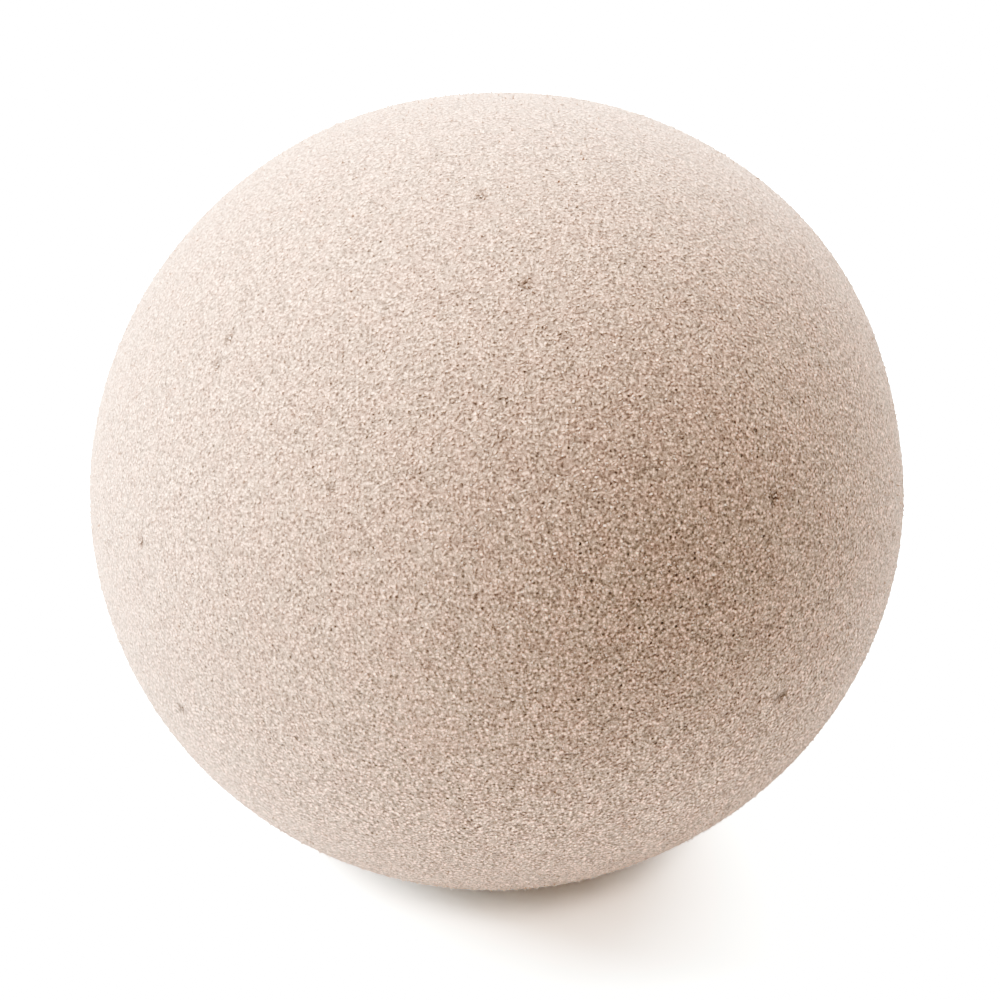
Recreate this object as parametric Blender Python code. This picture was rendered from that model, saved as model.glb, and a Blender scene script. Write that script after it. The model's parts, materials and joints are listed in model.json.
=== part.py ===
"""Dry floral foam ball: one solid piece of rigid open-cell foam with a small flat to stand on.

The ball is turned from one block, so it is a single body of revolution about Z. Its profile is an
ellipse, a little lower than it is wide, cut off level at the bottom by the rest flat.

Units are metres, +Z is up, and the origin is the centre of the rest flat.
Run it with: blender --background --python part.py
"""

import math

import bmesh
import bpy
from mathutils import Vector

# Driving dimensions. Each one is set by itself, and the profile is worked out from all three.
BALL_WIDTH = 0.0900  # across the widest ring
BALL_HEIGHT = 0.0848  # from the rest flat up to the crown
REST_FLAT_WIDTH = 0.0300  # diameter of the flat under the ball

# Faceting of the round surface. A multiple of 4 around puts a facet corner on each side of X and Y.
FACETS_AROUND = 64
ROWS_ABOVE_WIDEST_RING = 16
ROWS_BELOW_WIDEST_RING = 16

# Corners of neighbouring profile rows are millimetres apart, so this only joins the seam and the crown.
MERGE_DISTANCE = 0.000001

FOAM_COLOUR = (0.56, 0.44, 0.37, 1.0)
FOAM_ROUGHNESS = 0.95
FOAM_METALLIC = 0.0


def clear_scene() -> None:
    """Removes the objects that a new scene starts with."""
    for item in list(bpy.data.objects):
        bpy.data.objects.remove(item, do_unlink=True)


def foam_material(name: str) -> bpy.types.Material:
    """Makes the dull, pinkish taupe finish of dry floral foam."""
    material = bpy.data.materials.new(name)
    material.use_nodes = True
    shader = material.node_tree.nodes["Principled BSDF"]
    shader.inputs["Base Color"].default_value = FOAM_COLOUR
    shader.inputs["Roughness"].default_value = FOAM_ROUGHNESS
    shader.inputs["Metallic"].default_value = FOAM_METALLIC
    material.diffuse_color = FOAM_COLOUR
    return material


def even_steps(start: float, end: float, steps: int) -> list[float]:
    """Returns the steps + 1 values that divide start to end evenly."""
    return [start + (end - start) * step / steps for step in range(steps + 1)]


def ball_profile() -> list[Vector]:
    """Works out the right-hand half of the ball's outline, from the crown down to the flat's edge.

    A point at angle t from the crown is half the width times sin t out from the axis, and the half
    height times cos t above the centre. The flat's edge is where that radius comes back to the
    flat's own, and the half height is what makes crown to flat the stated height.
    """
    half_width = BALL_WIDTH / 2
    edge_angle = math.pi - math.asin(REST_FLAT_WIDTH / 2 / half_width)
    half_height = BALL_HEIGHT / (1 - math.cos(edge_angle))
    centre_height = -half_height * math.cos(edge_angle)
    above = even_steps(0.0, math.pi / 2, ROWS_ABOVE_WIDEST_RING)
    below = even_steps(math.pi / 2, edge_angle, ROWS_BELOW_WIDEST_RING)
    return [
        Vector((half_width * math.sin(t), 0.0, centre_height + half_height * math.cos(t)))
        for t in above + below[1:]
    ]


def turned_solid(name: str, profile: list[Vector]) -> bpy.types.Mesh:
    """Turns a profile once around Z and closes it at the bottom with one level face.

    Args:
        name: The mesh's name.
        profile: Points from the top of the axis to the edge of the bottom face, in the XZ plane.

    Returns:
        A closed mesh with its faces pointing out, smooth all over except at the bottom face.
    """
    shape = bmesh.new()
    corners = [shape.verts.new(point) for point in profile]
    rails = [shape.edges.new(pair) for pair in zip(corners, corners[1:])]
    bmesh.ops.spin(
        shape,
        geom=corners + rails,
        cent=(0.0, 0.0, 0.0),
        axis=(0.0, 0.0, 1.0),
        angle=2 * math.pi,
        steps=FACETS_AROUND,
    )
    bmesh.ops.remove_doubles(shape, verts=shape.verts[:], dist=MERGE_DISTANCE)
    open_edges = [edge for edge in shape.edges if edge.is_boundary]
    for face in shape.faces:
        face.smooth = True
    bottom = bmesh.ops.holes_fill(shape, edges=open_edges, sides=FACETS_AROUND)["faces"]
    for face in bottom:
        face.smooth = False
        for edge in face.edges:
            edge.smooth = False
    bmesh.ops.recalc_face_normals(shape, faces=shape.faces[:])
    mesh = bpy.data.meshes.new(name)
    shape.to_mesh(mesh)
    shape.free()
    return mesh


def build_foam_ball() -> bpy.types.Object:
    """Makes the ball, standing on its rest flat at the origin."""
    name = "foam_ball"
    ball = bpy.data.objects.new(name, turned_solid(name, ball_profile()))
    ball.data.materials.append(foam_material("foam"))
    bpy.context.scene.collection.objects.link(ball)
    return ball


def main() -> None:
    """Builds the whole part."""
    clear_scene()
    build_foam_ball()


main()
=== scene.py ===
"""A ball of dry floral foam: open-celled rigid foam, turned from one block, standing on its rest flat.

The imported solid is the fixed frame. A finely gridded foam body stands for it here, and carries the
cut cells, torn pits and hand-finished unevenness that the smooth solid leaves out. Small shards of
broken cell wall stand on it.
All lengths are metres, +Z is up, and the origin is the centre of the rest flat.
"""

import json
import logging
import math
from dataclasses import dataclass, field
from enum import Enum
from typing import Any, Union

import bpy
import numpy as np
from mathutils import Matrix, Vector

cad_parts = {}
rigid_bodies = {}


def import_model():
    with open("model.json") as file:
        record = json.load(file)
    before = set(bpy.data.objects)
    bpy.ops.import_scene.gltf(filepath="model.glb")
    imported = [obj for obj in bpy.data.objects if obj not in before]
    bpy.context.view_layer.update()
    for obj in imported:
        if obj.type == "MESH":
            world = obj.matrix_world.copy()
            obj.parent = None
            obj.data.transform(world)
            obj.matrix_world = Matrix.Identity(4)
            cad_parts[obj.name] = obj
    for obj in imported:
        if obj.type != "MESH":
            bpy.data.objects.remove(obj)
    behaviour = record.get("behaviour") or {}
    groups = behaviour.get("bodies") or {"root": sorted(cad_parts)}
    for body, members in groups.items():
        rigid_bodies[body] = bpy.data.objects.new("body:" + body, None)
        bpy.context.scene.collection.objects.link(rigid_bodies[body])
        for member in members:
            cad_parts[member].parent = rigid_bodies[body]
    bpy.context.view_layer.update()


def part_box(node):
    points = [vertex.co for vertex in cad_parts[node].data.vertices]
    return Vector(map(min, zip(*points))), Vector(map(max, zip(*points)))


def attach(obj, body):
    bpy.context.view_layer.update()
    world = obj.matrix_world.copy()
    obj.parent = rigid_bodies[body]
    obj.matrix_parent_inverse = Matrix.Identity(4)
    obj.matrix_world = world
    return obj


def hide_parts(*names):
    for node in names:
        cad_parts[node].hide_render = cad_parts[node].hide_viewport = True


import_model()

log = logging.getLogger("foam_ball")

MM = 0.001
Grid = np.ndarray
Number = Union[int, float]
Colour = tuple[float, float, float]


class Body(Enum):
    """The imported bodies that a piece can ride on."""

    ROOT = "root"


class Slot(Enum):
    """The record's material slots."""

    FOAM = "foam"


# ---------------------------------------------------------------------------------------------------
# Shader building
# ---------------------------------------------------------------------------------------------------


class Value:
    """A number that varies over a surface: one output socket, with arithmetic written as operators."""

    def __init__(self, bench: "Bench", socket: bpy.types.NodeSocket) -> None:
        """Keeps the socket and the bench that adds nodes for it."""
        self.bench = bench
        self.socket = socket

    def _math(self, operation: str, *values: Any) -> "Value":
        """Adds one Math node.

        Args:
            operation: the Math node's operation.
            values: its inputs in order.

        Returns:
            The node's result.
        """
        made = self.bench.node("ShaderNodeMath", {"operation": operation}, dict(enumerate(values)))
        return Value(self.bench, made.outputs[0])

    def __add__(self, other: Any) -> "Value":
        """self + other."""
        return self._math("ADD", self, other)

    __radd__ = __add__

    def __sub__(self, other: Any) -> "Value":
        """self - other."""
        return self._math("SUBTRACT", self, other)

    def __rsub__(self, other: Any) -> "Value":
        """other - self."""
        return self._math("SUBTRACT", other, self)

    def __mul__(self, other: Any) -> "Value":
        """self * other."""
        return self._math("MULTIPLY", self, other)

    __rmul__ = __mul__

    def __truediv__(self, other: Any) -> "Value":
        """self / other."""
        return self._math("DIVIDE", self, other)

    def __rtruediv__(self, other: Any) -> "Value":
        """other / self."""
        return self._math("DIVIDE", other, self)

    def __pow__(self, other: Any) -> "Value":
        """self to the power of other."""
        return self._math("POWER", self, other)

    def __rpow__(self, other: Any) -> "Value":
        """other to the power of self."""
        return self._math("POWER", other, self)

    def clamp(self, low: Number = 0.0, high: Number = 1.0) -> "Value":
        """The value held between low and high."""
        return self._math("MINIMUM", self._math("MAXIMUM", self, low), high)

    def ramp(self, start: Number, end: Number) -> "Value":
        """A smooth step that is 0 at start and 1 at end; start may be the larger.

        Args:
            start: where the step begins.
            end: where it is complete.

        Returns:
            The step, 3t^2 - 2t^3 of the held fraction t.
        """
        part = ((self - start) / (end - start)).clamp()
        return part * part * (3.0 - 2.0 * part)


class Bench:
    """Adds nodes to one material."""

    def __init__(self, name: str) -> None:
        """Starts an empty material of that name.

        Args:
            name: the material's name.
        """
        self.material = bpy.data.materials.new(name)
        self.material.use_nodes = True
        self.tree = self.material.node_tree
        self.tree.nodes.clear()
        self.output = self.node("ShaderNodeOutputMaterial")

    def node(
        self, kind: str, settings: dict[str, Any] | None = None, inputs: dict[Any, Any] | None = None
    ) -> Any:
        """Adds a node, sets it up, then fills its sockets.

        Args:
            kind: the node's type name.
            settings: the node's own properties, set first.
            inputs: for each socket, by name or number, a Value, a socket or a plain value.

        Returns:
            The new node.
        """
        made = self.tree.nodes.new(kind)
        for key, setting in (settings or {}).items():
            setattr(made, key, setting)
        for key, given in (inputs or {}).items():
            if isinstance(given, Value):
                given = given.socket
            if isinstance(given, bpy.types.NodeSocket):
                self.tree.links.new(given, made.inputs[key])
            else:
                made.inputs[key].default_value = given
        return made

    def value(self, socket: bpy.types.NodeSocket) -> Value:
        """Wraps an output socket."""
        return Value(self, socket)

    def vector(self, operation: str, first: Any, second: Any) -> bpy.types.NodeSocket:
        """Adds one Vector Math node.

        Args:
            operation: the node's operation.
            first: its first vector.
            second: its second vector.

        Returns:
            The vector that it gives.
        """
        made = self.node("ShaderNodeVectorMath", {"operation": operation}, {0: first, 1: second})
        return made.outputs["Vector"]

    def part(self, colour: bpy.types.NodeSocket) -> Value:
        """The first part of a colour."""
        return self.value(self.node("ShaderNodeSeparateColor", {}, {0: colour}).outputs[0])

    def mark(self, name: str) -> Value:
        """A number that the mesh keeps under a name."""
        return self.value(self.node("ShaderNodeAttribute", {"attribute_name": name}).outputs["Fac"])

    def scaled(self, vector: Any, factor: Number) -> bpy.types.NodeSocket:
        """A vector times one number."""
        made = self.node("ShaderNodeVectorMath", {"operation": "SCALE"}, {0: vector, "Scale": factor})
        return made.outputs["Vector"]

    def mix(self, amount: Any, first: Any, second: Any, blend: str = "MIX") -> bpy.types.NodeSocket:
        """Mixes two colours.

        Args:
            amount: how much of the second, 0 to 1.
            first: a colour or its socket.
            second: a colour or its socket.
            blend: the way they are mixed.

        Returns:
            The mixed colour.
        """
        settings = {"data_type": "RGBA", "blend_type": blend, "clamp_result": False}
        return self.node("ShaderNodeMix", settings, {"Factor": amount, 6: first, 7: second}).outputs[2]

    def noise(self, place: Any, size: Number, detail: Number = 2.0, rough: Number = 0.5) -> Any:
        """Adds smooth noise whose features are about size metres across.

        Args:
            place: the coordinates.
            size: the size of a feature.
            detail: how many finer layers are added.
            rough: how strong each finer layer is.

        Returns:
            The noise node.
        """
        inputs = {"Vector": place, "Scale": 1.0 / size, "Detail": detail, "Roughness": rough}
        return self.node("ShaderNodeTexNoise", {"noise_dimensions": "3D"}, inputs)

    def cells(self, place: Any, size: Number) -> tuple[Value, Value]:
        """Adds a cell pattern whose cells are about size metres across.

        Args:
            place: the coordinates.
            size: the size of a cell.

        Returns:
            The distance to the nearest cell centre in cells, and one chance number for each cell.
        """
        settings = {"voronoi_dimensions": "3D", "feature": "F1"}
        inputs = {"Vector": place, "Scale": 1.0 / size, "Randomness": 1.0}
        made = self.node("ShaderNodeTexVoronoi", settings, inputs)
        return self.value(made.outputs["Distance"]), self.part(made.outputs["Color"])


# ---------------------------------------------------------------------------------------------------
# Finishes
# ---------------------------------------------------------------------------------------------------


@dataclass(frozen=True)
class FoamFinish:
    """Cut open-cell phenolic foam: dull taupe cell walls, and pits between them.

    The pits are darkened by painted shade, and rare bright points are painted glints.
    """

    name: str = "cut_dry_foam"
    colour: Colour = (0.465, 0.323, 0.227)
    rosy: Colour = (1.018, 0.993, 0.992)
    ashen: Colour = (0.986, 1.003, 1.008)
    pit_tint: Colour = (0.95, 1.0, 1.07)
    grain_tint: Colour = (1.03, 1.0, 0.955)
    sheen_tint: Colour = (1.0, 0.88, 0.79)
    pit_cell: float = 0.42 * MM
    grain_cell: float = 0.36 * MM
    crumble: float = 0.12 * MM
    cluster: float = 0.9 * MM
    patch: float = 2.4 * MM
    torn_cell: float = 3.4 * MM
    speck_cell: float = 0.62 * MM
    glint_cell: float = 0.55 * MM
    stir_size: float = 0.7 * MM
    stir_reach: float = 0.2 * MM
    # The colour follows the height that these sink and lift: partly the foam's own grain tone, partly painted
    # shade in the pits, torn pits and hollows and painted brightness on the raised grains.
    pit_depth: float = 1.05
    grain_rise: float = 1.1
    crumble_rise: float = 2.5
    cluster_rise: float = 0.35
    torn_depth: float = 1.2
    hollow_depth: float = 2.0
    speck_share: float = 0.5
    speck_depth: float = 1.1
    glint_share: float = 0.45
    glint_rise: float = 0.9
    contrast: float = 0.68
    roughness: float = 0.86
    relief: float = 0.058 * MM
    # Painted shade: below these heights the colour's contrast grows by up to the gain, darkening the pits and
    # brightening the walls more low on the ball, where the light grazes.
    lower_shade_height: tuple[float, float] = (46.0 * MM, 26.0 * MM)
    lower_shade_gain: float = 0.30

    def height(self, b: Bench, place: Any) -> Value:
        """How high the cut surface stands at a point, in cell wall heights.

        Args:
            b: the bench that adds the nodes.
            place: where.

        Returns:
            Pits below 0 where cells were cut open, grains above 0 where walls meet, and finer crumble.
        """
        stir = b.vector("SUBTRACT", b.noise(place, self.stir_size, 1.0).outputs["Color"], (0.5, 0.5, 0.5))
        bent = b.vector("ADD", place, b.scaled(stir, self.stir_reach))
        aside = b.vector("ADD", bent, (0.0317, 0.0731, 0.0173))
        pit = b.cells(bent, self.pit_cell)[0].ramp(0.72, 0.1)
        grain = b.cells(aside, self.grain_cell)[0].ramp(0.62, 0.1)
        crumble = b.value(b.noise(place, self.crumble, 1.0, 0.6).outputs["Fac"]) - 0.5
        cluster = b.value(b.noise(place, self.cluster, 1.0, 0.5).outputs["Fac"]) - 0.5
        coarse = grain * self.grain_rise - pit * self.pit_depth
        return coarse + crumble * self.crumble_rise + cluster * self.cluster_rise

    def dots(self, b: Bench, place: Any, size: Number, share: Number) -> Value:
        """Small crisp round dots, in some of the cells of a cell pattern.

        Args:
            b: the bench that adds the nodes.
            place: where.
            size: the size of a cell.
            share: the share of the cells that hold a dot.

        Returns:
            1 inside a dot and 0 outside it.
        """
        distance, odds = b.cells(place, size)
        return distance.ramp(0.36, 0.14) * odds.ramp(1.0 - share, 1.0 - share * 0.4)

    def marked_height(self, b: Bench, place: Any) -> Value:
        """The cut surface with its torn pits, specks, bright points and the body's own pits.

        The colour follows this height: painted shade in the pits and painted glints at the bright points.

        Args:
            b: the bench that adds the nodes.
            place: where.

        Returns:
            The height in cell wall heights.
        """
        distance, odds = b.cells(place, self.torn_cell)
        torn = distance.ramp(0.12, 0.05) * odds.ramp(0.80, 0.84)
        speck_place = b.vector("ADD", place, (0.0411, 0.0127, 0.0291))
        speck = self.dots(b, speck_place, self.speck_cell, self.speck_share)
        # Painted glints: the bright points lift the height, which brightens the colour there.
        glint_place = b.vector("ADD", place, (0.0137, 0.0511, 0.0373))
        point = self.dots(b, glint_place, self.glint_cell, self.glint_share)
        # Painted shade: the torn pits and the body's hollows sink the height, which darkens the colour there
        # as well as denting the surface.
        height = self.height(b, place) - torn * self.torn_depth - b.mark("hollow") * self.hollow_depth
        return height - speck * self.speck_depth + point * self.glint_rise

    def material(self) -> bpy.types.Material:
        """Builds the foam's material on Object coordinates and the body's own marks of its pits.

        The colour is multiplied by e^(height * contrast * boost): partly the foam's own grain tone, partly
        painted shade that darkens the pits and painted brightness on the raised walls and glint points.
        The boost grows below the middle and paints stronger shading low on the ball.

        Returns:
            The material.
        """
        b = Bench(self.name)
        place = b.node("ShaderNodeTexCoord").outputs["Object"]
        height = self.marked_height(b, place)
        level = b.value(b.node("ShaderNodeSeparateXYZ", {}, {0: place}).outputs["Z"])
        # Painted shade: stronger contrast in the colour low on the ball.
        lower_shade_boost = 1.0 + level.ramp(*self.lower_shade_height) * self.lower_shade_gain
        # Painted shade and brightness: the colour darkens down into the pits and lightens up on the walls and
        # glint points, partly the foam's own grain tone.
        shade = math.e ** (height * self.contrast * lower_shade_boost)

        patches = b.value(b.noise(place, self.patch, 1.0, 0.5).outputs["Fac"])
        colour = b.mix(patches.ramp(0.35, 0.65), (*self.rosy, 1.0), (*self.ashen, 1.0))
        colour = b.mix(1.0, colour, (*self.colour, 1.0), "MULTIPLY")
        colour = b.mix(1.0, colour, shade, "MULTIPLY")
        tint = b.mix(height.ramp(-1.3, 1.3), (*self.pit_tint, 1.0), (*self.grain_tint, 1.0))
        colour = b.mix(1.0, colour, tint, "MULTIPLY")

        bump = b.node("ShaderNodeBump", {}, {"Strength": 1.0, "Distance": self.relief, "Height": height})
        shader = b.node("ShaderNodeBsdfPrincipled", {}, {
            "Base Color": colour,
            "Roughness": (self.roughness - height * 0.06).clamp(),
            "Normal": bump.outputs["Normal"],
            "Specular IOR Level": 0.35,
            "Sheen Weight": 0.35,
            "Sheen Roughness": 0.4,
            "Sheen Tint": (*self.sheen_tint, 1.0),
        })
        b.tree.links.new(shader.outputs[0], b.output.inputs["Surface"])
        return b.material


@dataclass(frozen=True)
class WallFinish:
    """Broken cell walls that stand on the cut: paler and a little glossier than the foam between them."""

    name: str = "broken_cell_wall"
    dark: Colour = (0.54, 0.41, 0.32)
    pale: Colour = (0.88, 0.69, 0.55)
    roughness: float = 0.55

    def material(self) -> bpy.types.Material:
        """Builds the walls' material: one tone to each wall, from Object coordinates.

        Returns:
            The material.
        """
        b = Bench(self.name)
        place = b.node("ShaderNodeTexCoord").outputs["Object"]
        odds = b.value(b.noise(place, 0.5 * MM, 1.0, 0.6).outputs["Fac"])
        colour = b.mix(odds.ramp(0.35, 0.7), (*self.dark, 1.0), (*self.pale, 1.0))
        bump = b.node("ShaderNodeBump", {}, {
            "Strength": 0.6, "Distance": 0.03 * MM, "Height": b.noise(place, 0.1 * MM, 1.0).outputs["Fac"],
        })
        shader = b.node("ShaderNodeBsdfPrincipled", {}, {
            "Base Color": colour,
            "Roughness": (self.roughness + odds * 0.3).clamp(),
            "Normal": bump.outputs["Normal"],
            "Specular IOR Level": 0.5,
        })
        b.tree.links.new(shader.outputs[0], b.output.inputs["Surface"])
        return b.material


@dataclass(frozen=True)
class FloorFinish:
    """A plain pale light table: white, faintly lit from within and overexposed.

    A painted contact shadow makes it greyer in narrow gaps under the ball.
    """

    name: str = "pale_light_table"
    albedo: float = 0.85
    glow: float = 0.45
    felt_white: Colour = (0.83, 0.85, 0.87)
    glow_white: Colour = (0.965, 1.0, 1.05)
    overexposure: float = 4.2
    contact_shadow_reach: float = 5.5 * MM
    contact_shadow_grey: Colour = (0.30, 0.345, 0.37)
    open_white: Colour = (0.97, 1.0, 0.995)

    def material(self) -> bpy.types.Material:
        """Builds a matte white that the camera sees brighter than it lights the foam, with a painted contact
        shadow close under the ball.

        Returns:
            The material.
        """
        b = Bench(self.name)
        # Painted contact shadow: occlusion near the ball greys the white that the camera sees.
        contact_occlusion = b.node("ShaderNodeAmbientOcclusion", {"samples": 8}, {"Distance": self.contact_shadow_reach})
        unshadowed = b.value(contact_occlusion.outputs["AO"]).ramp(0.2, 0.85)
        white = b.mix(unshadowed, (*self.contact_shadow_grey, 1.0), (*self.open_white, 1.0))
        seen = b.node("ShaderNodeBsdfDiffuse", {}, {
            "Color": b.scaled(white, self.albedo * self.overexposure),
        })
        felt = b.node("ShaderNodeBsdfPrincipled", {}, {
            "Base Color": (*self.felt_white, 1.0),
            "Roughness": 1.0,
            "Specular IOR Level": 0.0,
            "Emission Color": (*self.glow_white, 1.0),
            "Emission Strength": self.glow,
        })
        to_camera = b.node("ShaderNodeLightPath").outputs["Is Camera Ray"]
        both = b.node("ShaderNodeMixShader", {}, {0: to_camera, 1: felt.outputs[0], 2: seen.outputs[0]})
        b.tree.links.new(both.outputs[0], b.output.inputs["Surface"])
        return b.material


# ---------------------------------------------------------------------------------------------------
# Pieces
# ---------------------------------------------------------------------------------------------------


def shown(obj: bpy.types.Object, material: bpy.types.Material) -> bpy.types.Object:
    """Links an object to the scene with its finish.

    Args:
        obj: the object.
        material: its finish.

    Returns:
        The same object.
    """
    bpy.context.scene.collection.objects.link(obj)
    obj.data.materials.append(material)
    return obj


def mesh_of(name: str, points: Grid, faces: Grid) -> bpy.types.Mesh:
    """Puts whole arrays of corners and faces into a mesh.

    Args:
        name: the mesh's name.
        points: corners, one row each.
        faces: corner numbers, one row to a face.

    Returns:
        The mesh, smooth shaded.
    """
    mesh = bpy.data.meshes.new(name)
    count, sides = faces.shape
    mesh.vertices.add(len(points))
    mesh.vertices.foreach_set("co", points.astype(np.float32).ravel())
    mesh.loops.add(count * sides)
    mesh.loops.foreach_set("vertex_index", faces.astype(np.int32).ravel())
    mesh.polygons.add(count)
    mesh.polygons.foreach_set("loop_start", np.arange(0, count * sides, sides, dtype=np.int32))
    mesh.update(calc_edges=True)
    mesh.shade_smooth()
    return mesh


@dataclass
class Swell:
    """A low, wide rise or hollow left by hand finishing, where the ball faces a direction."""

    facing: tuple[float, float, float]
    rise: float
    spread: float

    def over(self, facing: Grid) -> Grid:
        """How far it lifts the surface: rise * exp(-(angle from its middle / spread)^2).

        Args:
            facing: unit directions, one row each.

        Returns:
            One lift per direction.
        """
        middle = np.array(self.facing) / np.linalg.norm(self.facing)
        angle = np.arccos(np.clip(facing @ middle, -1.0, 1.0))
        return self.rise * np.exp(-((angle / self.spread) ** 2))


@dataclass
class Hollow:
    """A small ragged pit torn in the cut surface."""

    facing: Grid
    depth: float
    width: float

    def over(self, facing: Grid, radius: float) -> Grid:
        """How much of its depth is reached at each place: exp(-(2 * distance / width)^2).

        Args:
            facing: unit directions, one row each.
            radius: the ball's radius, which turns directions into lengths.

        Returns:
            1 in the middle and 0 away from it.
        """
        away = np.linalg.norm(facing - self.facing, axis=1) * radius
        return np.exp(-((2 * away / self.width) ** 2))


@dataclass
class FoamBall:
    """The foam: a slightly flattened ball with a rest flat, gridded finely enough to carry its rough skin."""

    low: Vector
    high: Vector
    rest_flat: float = 30.0 * MM
    lean: float = math.radians(10.7)
    rows: int = 128
    shuffle: float = 0.35
    skin: float = 0.020 * MM
    seed: int = 11
    finish: FoamFinish = field(default_factory=FoamFinish)
    swells: tuple[Swell, ...] = (
        Swell((0.78, 0.36, 0.52), 0.33 * MM, 0.30),
        Swell((0.98, 0.11, 0.15), -0.33 * MM, 0.22),
        Swell((0.0, 0.57, 0.82), -0.30 * MM, 0.28),
        Swell((-0.62, -0.55, 0.56), 0.18 * MM, 0.45),
        Swell((-0.35, 0.88, -0.32), 0.22 * MM, 0.40),
        Swell((0.42, -0.62, -0.66), -0.16 * MM, 0.38),
    )
    pits: int = 20
    pit_depth: tuple[float, float] = (0.30 * MM, 0.40 * MM)
    pit_width: tuple[float, float] = (0.8 * MM, 1.1 * MM)
    pit_seed: int = 37

    @property
    def half_width(self) -> float:
        """Half the ball's width."""
        return (self.high.x - self.low.x) / 2

    @property
    def half_height(self) -> float:
        """Half the height of the whole flattened ball before its rest flat is cut.

        The cut is where the ellipse is rest_flat wide, so the height from flat to crown is
        half_height * (1 + sqrt(1 - (rest_flat / width)^2)).
        """
        cut = self.rest_flat / (2 * self.half_width)
        return (self.high.z - self.low.z) / (1 + math.sqrt(1 - cut * cut))

    @property
    def centre(self) -> Vector:
        """The middle of the flattened ball."""
        return Vector((0, 0, self.high.z - self.half_height))

    def lattice(self) -> tuple[Grid, Grid]:
        """Corners and faces of a cube's six gridded sides, its shared edges counted once.

        Each side is a grid of two parameters i and j from 0 to rows, with the third coordinate at
        0 or rows.

        Returns:
            Whole-number corners, one row each, and four corner numbers to a face.
        """
        n = self.rows
        i, j = np.meshgrid(np.arange(n + 1), np.arange(n + 1), indexing="ij")
        quads = []
        for axis in range(3):
            for level, turned in ((0, True), (n, False)):
                side = np.empty((n + 1, n + 1, 3), int)
                side[..., axis] = level
                side[..., (axis + 1) % 3] = i
                side[..., (axis + 2) % 3] = j
                code = (side[..., 0] * (n + 1) + side[..., 1]) * (n + 1) + side[..., 2]
                quad = np.stack([code[:-1, :-1], code[1:, :-1], code[1:, 1:], code[:-1, 1:]], -1)
                quads.append((quad[..., ::-1] if turned else quad).reshape(-1, 4))
        codes, faces = np.unique(np.concatenate(quads), return_inverse=True)
        corners = np.stack([codes // (n + 1) ** 2, codes // (n + 1) % (n + 1), codes % (n + 1)], -1)
        return corners, faces.reshape(-1, 4)

    def facings(self, corners: Grid, rng: np.random.Generator) -> Grid:
        """Unit directions of the cube's corners, spread evenly over the ball and then shuffled.

        A cube coordinate t from -1 to 1 becomes tan(t * 45 degrees) before the row is brought to
        length 1, which keeps the cells near one size. The shuffle hides the rows.

        Args:
            corners: whole-number cube corners.
            rng: the random source.

        Returns:
            Unit directions, one row each.
        """
        cube = np.tan((corners / self.rows * 2 - 1) * (math.pi / 4))
        facing = cube / np.linalg.norm(cube, axis=1, keepdims=True)
        step = math.pi / 2 / self.rows
        facing = facing + rng.uniform(-1, 1, facing.shape) * step * self.shuffle
        return facing / np.linalg.norm(facing, axis=1, keepdims=True)

    def skin_points(self, facing: Grid) -> Grid:
        """Where the ball's smooth skin is, seen from its centre.

        Along a direction d the flattened ball is 1 / sqrt(across^2 / half_width^2 + along^2 /
        half_height^2) away, where along is d's part along the leaned short axis and across is the
        rest. The swells are added to that distance, and the rest flat then holds every point at or
        above the floor.

        Args:
            facing: unit directions, one row each.

        Returns:
            Points, one row each.
        """
        short_axis = np.array([-math.sin(self.lean), 0.0, math.cos(self.lean)])
        along = facing @ short_axis
        distance = 1 / np.sqrt((1 - along**2) / self.half_width**2 + along**2 / self.half_height**2)
        distance = distance + sum(swell.over(facing) for swell in self.swells)
        points = facing * distance[:, None] + np.array(self.centre)
        points[:, 2] = np.maximum(points[:, 2], 0.0)
        return points

    def hollows(self) -> list[Hollow]:
        """Scatters the larger pits over the whole ball, with a random source of their own.

        Returns:
            The pits.
        """
        rng = np.random.default_rng(self.pit_seed)
        facings = rng.normal(size=(self.pits, 3))
        facings /= np.linalg.norm(facings, axis=1, keepdims=True)
        depths = rng.uniform(*self.pit_depth, self.pits)
        widths = rng.uniform(*self.pit_width, self.pits)
        return [Hollow(*pit) for pit in zip(facings, depths, widths)]

    def surface(self) -> tuple[Grid, Grid]:
        """The ball's rough surface: the smooth skin with each corner moved in or out by chance.

        Returns:
            Corners and faces.
        """
        rng = np.random.default_rng(self.seed)
        corners, faces = self.lattice()
        facing = self.facings(corners, rng)
        sunk = sum(hollow.depth * hollow.over(facing, self.half_width) for hollow in self.hollows())
        raised = rng.normal(0.0, self.skin, len(facing)) - sunk
        points = self.skin_points(facing) + facing * raised[:, None]
        points[:, 2] = np.maximum(points[:, 2], 0.0)
        return points, faces

    def mark(self, mesh: bpy.types.Mesh) -> None:
        """Writes to every corner how far into a pit it lies.

        The foam's material darkens its colour by it, as painted shade in the pits.

        Args:
            mesh: the foam's mesh.
        """
        points = np.empty(len(mesh.vertices) * 3, np.float32)
        mesh.vertices.foreach_get("co", points)
        away = points.reshape(-1, 3) - np.array(self.centre)
        facing = away / np.linalg.norm(away, axis=1, keepdims=True)
        sunk = sum(hollow.over(facing, self.half_width) for hollow in self.hollows())
        layer = mesh.attributes.new("hollow", "FLOAT", "POINT")
        layer.data.foreach_set("value", sunk.astype(np.float32))

    def build(self) -> bpy.types.Object:
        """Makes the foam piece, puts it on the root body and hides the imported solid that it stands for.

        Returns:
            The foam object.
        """
        points, faces = self.surface()
        mesh = mesh_of("foam_body", points, faces)
        self.mark(mesh)
        piece = shown(bpy.data.objects.new("foam_body", mesh), self.finish.material())
        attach(piece, Body.ROOT.value)
        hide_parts("foam_ball")
        log.info("foam_body: %d corners, %d faces", len(points), len(faces))
        return piece


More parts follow.
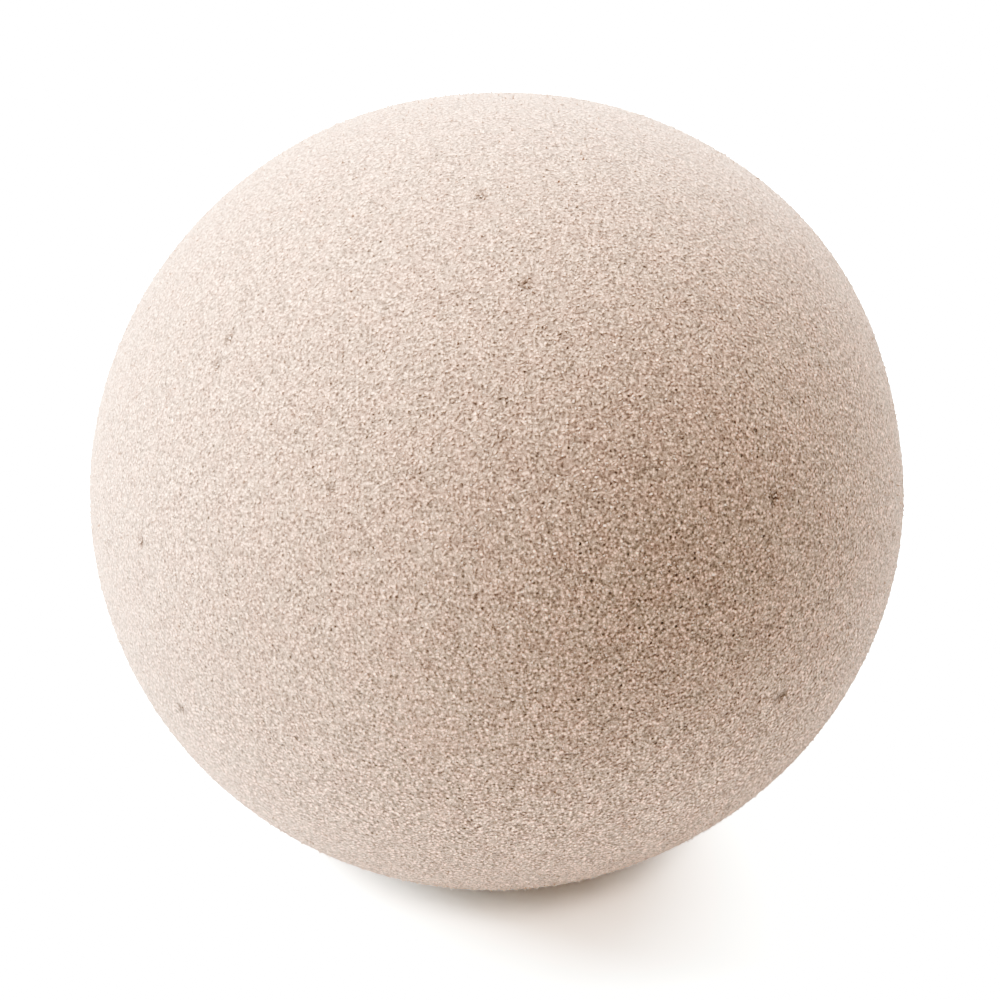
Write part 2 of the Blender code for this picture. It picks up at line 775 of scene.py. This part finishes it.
@dataclass
class BrokenWalls:
    """Shards of cell wall left standing all over the cut surface, each a closed four-sided splinter."""

    ball: FoamBall
    count: int = 48_000
    foot: tuple[float, float] = (0.10 * MM, 0.22 * MM)
    stand: tuple[float, float] = (0.04 * MM, 0.17 * MM)
    tall: float = 1.6
    rarity: int = 16
    scatter: float = 0.45
    twist: float = 0.5
    sink: float = 0.06 * MM
    lean: float = 0.10 * MM
    seed: int = 23
    finish: WallFinish = field(default_factory=WallFinish)

    def build(self) -> bpy.types.Object:
        """Plants the shards on the foam.

        Shard k stands on a spiral point of the ball, which spreads them evenly, moved by chance. Its
        three feet lie on a circle of its own radius around that point, sunk below the skin, and its
        tip stands above it, leaned a little. A few stand much taller: the height is multiplied by
        1 + tall * u^rarity, where u is a chance number from 0 to 1.

        Returns:
            The shards as one object.
        """
        rng = np.random.default_rng(self.seed)
        k = np.arange(self.count)
        level = 1 - 2 * (k + 0.5) / self.count
        turn = k * math.pi * (3 - math.sqrt(5))
        out = np.sqrt(1 - level**2)
        facing = np.stack([out * np.cos(turn), out * np.sin(turn), level], 1)
        facing += rng.normal(0.0, self.scatter * math.sqrt(4 * math.pi / self.count), facing.shape)
        facing /= np.linalg.norm(facing, axis=1, keepdims=True)
        root = self.ball.skin_points(facing)
        side = np.cross(facing, rng.normal(size=facing.shape))
        side /= np.linalg.norm(side, axis=1, keepdims=True)
        other = np.cross(facing, side)
        foot = rng.uniform(*self.foot, self.count)[:, None]
        corners = []
        for third in range(3):
            angle = (third * 2 * math.pi / 3 + rng.uniform(-self.twist, self.twist, self.count))[:, None]
            corners.append(root + foot * (np.cos(angle) * side + np.sin(angle) * other) - facing * self.sink)
        stand = rng.uniform(*self.stand, self.count)
        stand = stand * (1 + self.tall * rng.uniform(0, 1, self.count) ** self.rarity)
        tip = root + facing * stand[:, None]
        corners.append(tip + rng.normal(0.0, self.lean / 2, facing.shape))
        points = np.stack(corners, 1).reshape(-1, 3)
        points[:, 2] = np.maximum(points[:, 2], 0.0)
        shape = np.array([[0, 2, 1], [0, 1, 3], [1, 2, 3], [2, 0, 3]])
        faces = (4 * k[:, None, None] + shape).reshape(-1, 3)
        mesh = mesh_of("broken_walls", points, faces)
        mesh.shade_flat()
        piece = shown(bpy.data.objects.new("broken_walls", mesh), self.finish.material())
        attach(piece, Body.ROOT.value)
        log.info("broken_walls: %d shards", self.count)
        return piece


# ---------------------------------------------------------------------------------------------------
# Studio
# ---------------------------------------------------------------------------------------------------


WARM = (1.03, 1.0, 0.95)
CREAM = (1.0, 1.0, 0.97)


@dataclass(frozen=True)
class Softbox:
    """A round diffuser aimed at the ball. Azimuth 0 is the ball's right, 90 behind it, 180 its left."""

    name: str
    azimuth: float
    height: float
    watts: float
    width: float = 0.7
    reach: float = 1.2
    colour: Colour = (1.0, 1.0, 1.0)

    def hang(self, target: Vector) -> bpy.types.Object:
        """Adds the lamp at its place around the target.

        Args:
            target: what it is aimed at.

        Returns:
            The lamp.
        """
        turn, tilt = math.radians(self.azimuth), math.radians(self.height)
        away = Vector((math.cos(turn) * math.cos(tilt), math.sin(turn) * math.cos(tilt), math.sin(tilt)))
        data = bpy.data.lights.new(self.name, "AREA")
        data.shape = "DISK"
        data.size = self.width
        data.energy = self.watts
        data.color = self.colour
        lamp = bpy.data.objects.new(self.name, data)
        bpy.context.scene.collection.objects.link(lamp)
        lamp.location = target + away * self.reach
        lamp.rotation_euler = away.to_track_quat("Z", "Y").to_euler()
        lamp.visible_camera = False
        return lamp


@dataclass
class Studio:
    """The floor, the lamps, the surround and the camera."""

    ball: FoamBall
    floor_half: float = 0.9
    surround_white: float = 3.3
    camera_height: float = 35.0
    camera_reach: float = 0.55
    ball_share: float = 0.816
    shift: tuple[float, float] = (0.0028, -0.0109)
    view_look: str = "AgX - Very High Contrast"
    view_gamma: float = 0.65
    lamps: tuple[Softbox, ...] = (
        Softbox("left", 180, 40, 25.0, colour=CREAM),
        Softbox("low_left", 180, 12, 12.0, colour=CREAM),
        Softbox("high_left", 180, 68, 17.0),
        Softbox("back_left", 135, 40, 25.0, colour=WARM),
        Softbox("low_back_left", 135, 12, 2.0),
        Softbox("low_back", 90, 12, 20.0),
        Softbox("high_back", 90, 68, 9.0, colour=WARM),
        Softbox("low_back_right", 45, 12, 6.0),
        Softbox("back_right", 45, 40, 12.0, colour=WARM),
        Softbox("right", 0, 40, 1.0),
    )

    def floor(self) -> bpy.types.Object:
        """Lays a plain flat light table under the ball.

        Returns:
            The floor.
        """
        h = self.floor_half
        points = np.array([[-h, -h, 0], [h, -h, 0], [h, h, 0], [-h, h, 0]])
        obj = bpy.data.objects.new("floor", mesh_of("floor", points, np.array([[0, 1, 2, 3]])))
        shown(obj, FloorFinish().material())
        return obj

    def surround(self) -> None:
        """Gives the room beyond the floor a white that lights nothing."""
        world = bpy.data.worlds.new("room")
        bpy.context.scene.world = world
        world.use_nodes = True
        nodes, links = world.node_tree.nodes, world.node_tree.links
        sky = nodes["Background"]
        sky.inputs["Color"].default_value = (*[self.surround_white] * 3, 1.0)
        path = nodes.new("ShaderNodeLightPath")
        links.new(path.outputs["Is Camera Ray"], sky.inputs["Strength"])

    def camera(self) -> bpy.types.Object:
        """Sets the camera so that the ball's outline takes its share of the picture's width.

        Returns:
            The camera.
        """
        target = self.ball.centre
        tilt = math.radians(self.camera_height)
        away = Vector((0, -math.cos(tilt), math.sin(tilt)))
        data = bpy.data.cameras.new("camera")
        half_angle = math.asin(self.ball.half_width / self.camera_reach)
        data.lens = data.sensor_width / 2 * self.ball_share / math.tan(half_angle)
        data.shift_x, data.shift_y = self.shift
        data.clip_end = 50
        obj = bpy.data.objects.new("camera", data)
        bpy.context.scene.collection.objects.link(obj)
        obj.location = target + away * self.camera_reach
        obj.rotation_euler = away.to_track_quat("Z", "Y").to_euler()
        bpy.context.scene.camera = obj
        return obj

    def exposure(self) -> None:
        """Sets how the picture's light is turned into colours."""
        view = bpy.context.scene.view_settings
        view.look = self.view_look
        view.gamma = self.view_gamma

    def build(self) -> None:
        """Sets up the whole studio."""
        self.camera()
        self.floor()
        self.surround()
        for lamp in self.lamps:
            lamp.hang(self.ball.centre)
        self.exposure()
        log.info("studio: %d lamps", len(self.lamps))


def main() -> None:
    """Builds the foam ball and its studio."""
    logging.basicConfig(level=logging.INFO, format="%(name)s: %(message)s")
    ball = FoamBall(*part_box("foam_ball"))
    ball.build()
    BrokenWalls(ball).build()
    Studio(ball).build()


if __name__ == "__main__":
    main()
